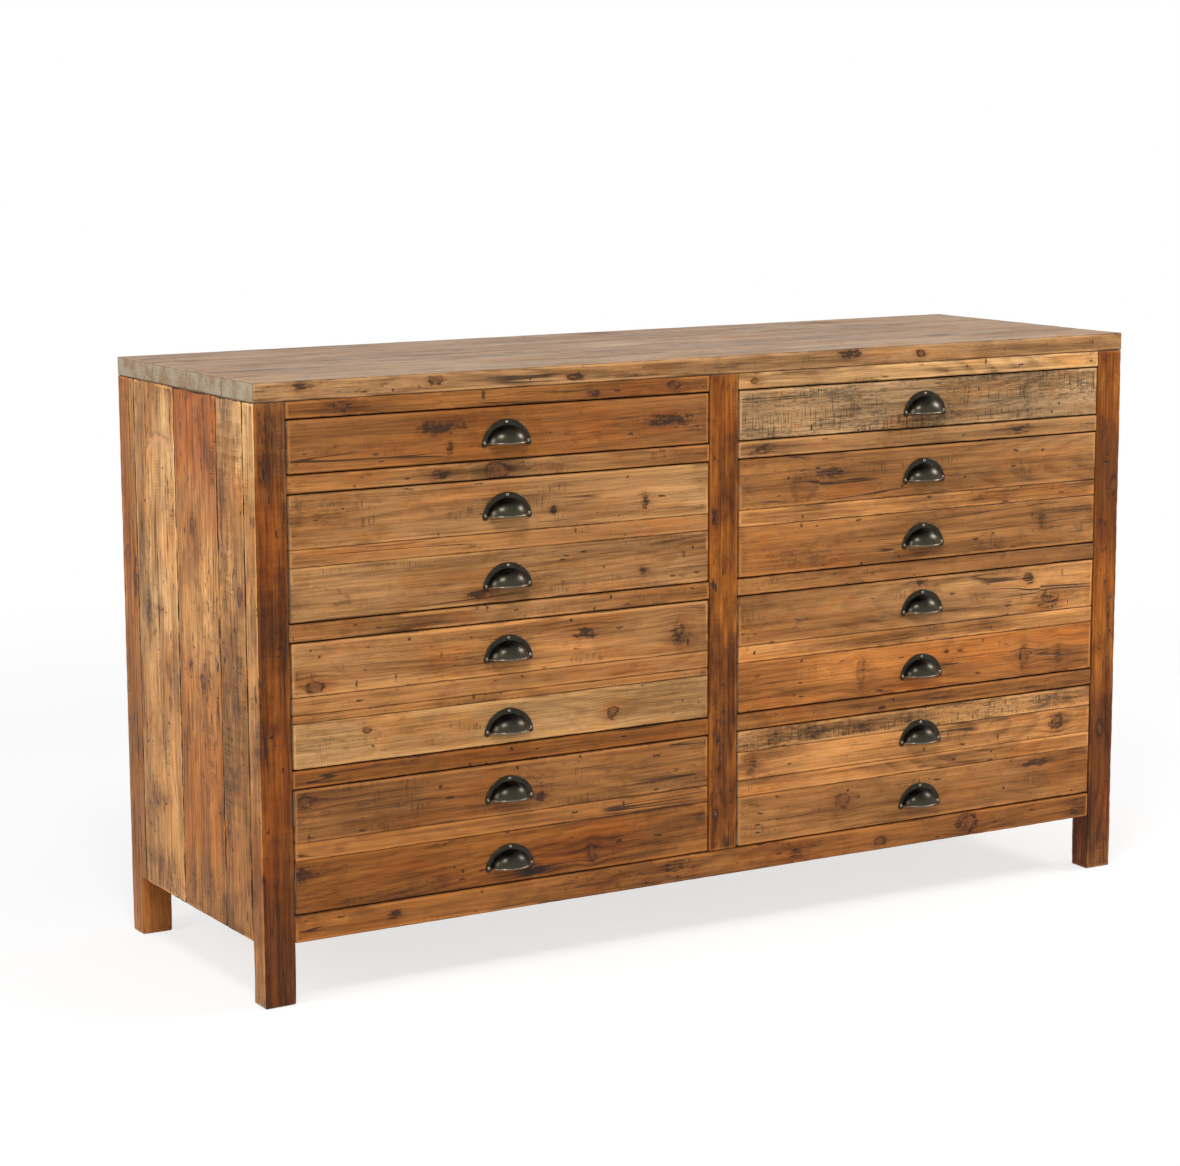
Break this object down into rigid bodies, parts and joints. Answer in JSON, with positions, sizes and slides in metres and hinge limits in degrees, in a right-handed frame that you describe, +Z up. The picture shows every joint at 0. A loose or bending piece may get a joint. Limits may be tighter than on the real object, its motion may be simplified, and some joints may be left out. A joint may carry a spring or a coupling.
{
  "type": "apothecary chest",
  "caption": "Low, wide chest of reclaimed pine boards on corner-post legs, with rows of inset drawers that slide on wooden runners and open by dark cup pulls.",
  "frame": {"origin": "on the floor, under the middle of the chest with its pulls", "axes": "+X to the right along the width, +Y from the drawer fronts to the back, +Z up"},
  "size_m": [1.56, 0.52, 0.9],
  "materials": {
    "reclaimed_pine": "waxed, worn",
    "plain_pine": "planed",
    "plywood": "sanded",
    "dark_bronze": "oiled",
    "steel": "worn"
  },
  "bodies": {
    "case": {"top_planks": "reclaimed_pine", "post_front_left": "reclaimed_pine", "post_front_right": "reclaimed_pine", "post_back_left": "reclaimed_pine", "post_back_right": "reclaimed_pine", "side_planks_left": "reclaimed_pine", "side_planks_right": "reclaimed_pine", "centre_stile": "reclaimed_pine", "top_rails": "reclaimed_pine", "drawer_rails": "reclaimed_pine", "bottom_rail": "reclaimed_pine", "back_boards": "reclaimed_pine", "back_rails": "plain_pine", "centre_partition": "plain_pine", "cross_rails": "plain_pine", "bottom_panels": "plywood", "top_cleats": "plain_pine", "top_screws": "steel", "drawer_runners": "plain_pine", "drawer_stops": "plain_pine"},
    "drawer_left_1": {"drawer_left_1_front": "reclaimed_pine", "drawer_left_1_box": "plain_pine", "drawer_left_1_bottom": "plywood", "drawer_left_1_pulls": "dark_bronze", "drawer_left_1_pull_pins": "steel"},
    "drawer_left_2": {"drawer_left_2_front": "reclaimed_pine", "drawer_left_2_box": "plain_pine", "drawer_left_2_bottom": "plywood", "drawer_left_2_pulls": "dark_bronze", "drawer_left_2_pull_pins": "steel"},
    "drawer_left_3": {"drawer_left_3_front": "reclaimed_pine", "drawer_left_3_box": "plain_pine", "drawer_left_3_bottom": "plywood", "drawer_left_3_pulls": "dark_bronze", "drawer_left_3_pull_pins": "steel"},
    "drawer_left_4": {"drawer_left_4_front": "reclaimed_pine", "drawer_left_4_box": "plain_pine", "drawer_left_4_bottom": "plywood", "drawer_left_4_pulls": "dark_bronze", "drawer_left_4_pull_pins": "steel"},
    "drawer_right_1": {"drawer_right_1_front": "reclaimed_pine", "drawer_right_1_box": "plain_pine", "drawer_right_1_bottom": "plywood", "drawer_right_1_pulls": "dark_bronze", "drawer_right_1_pull_pins": "steel"},
    "drawer_right_2": {"drawer_right_2_front": "reclaimed_pine", "drawer_right_2_box": "plain_pine", "drawer_right_2_bottom": "plywood", "drawer_right_2_pulls": "dark_bronze", "drawer_right_2_pull_pins": "steel"},
    "drawer_right_3": {"drawer_right_3_front": "reclaimed_pine", "drawer_right_3_box": "plain_pine", "drawer_right_3_bottom": "plywood", "drawer_right_3_pulls": "dark_bronze", "drawer_right_3_pull_pins": "steel"},
    "drawer_right_4": {"drawer_right_4_front": "reclaimed_pine", "drawer_right_4_box": "plain_pine", "drawer_right_4_bottom": "plywood", "drawer_right_4_pulls": "dark_bronze", "drawer_right_4_pull_pins": "steel"}
  },
  "joints": [
    {"name": "drawer_left_1_slide", "type": "slide", "parent": "case", "child": "drawer_left_1", "axis": [0, -1, 0], "range_m": [0, 0.32]},
    {"name": "drawer_left_2_slide", "type": "slide", "parent": "case", "child": "drawer_left_2", "axis": [0, -1, 0], "range_m": [0, 0.32]},
    {"name": "drawer_left_3_slide", "type": "slide", "parent": "case", "child": "drawer_left_3", "axis": [0, -1, 0], "range_m": [0, 0.32]},
    {"name": "drawer_left_4_slide", "type": "slide", "parent": "case", "child": "drawer_left_4", "axis": [0, -1, 0], "range_m": [0, 0.32]},
    {"name": "drawer_right_1_slide", "type": "slide", "parent": "case", "child": "drawer_right_1", "axis": [0, -1, 0], "range_m": [0, 0.32]},
    {"name": "drawer_right_2_slide", "type": "slide", "parent": "case", "child": "drawer_right_2", "axis": [0, -1, 0], "range_m": [0, 0.32]},
    {"name": "drawer_right_3_slide", "type": "slide", "parent": "case", "child": "drawer_right_3", "axis": [0, -1, 0], "range_m": [0, 0.32]},
    {"name": "drawer_right_4_slide", "type": "slide", "parent": "case", "child": "drawer_right_4", "axis": [0, -1, 0], "range_m": [0, 0.32]}
  ]
}
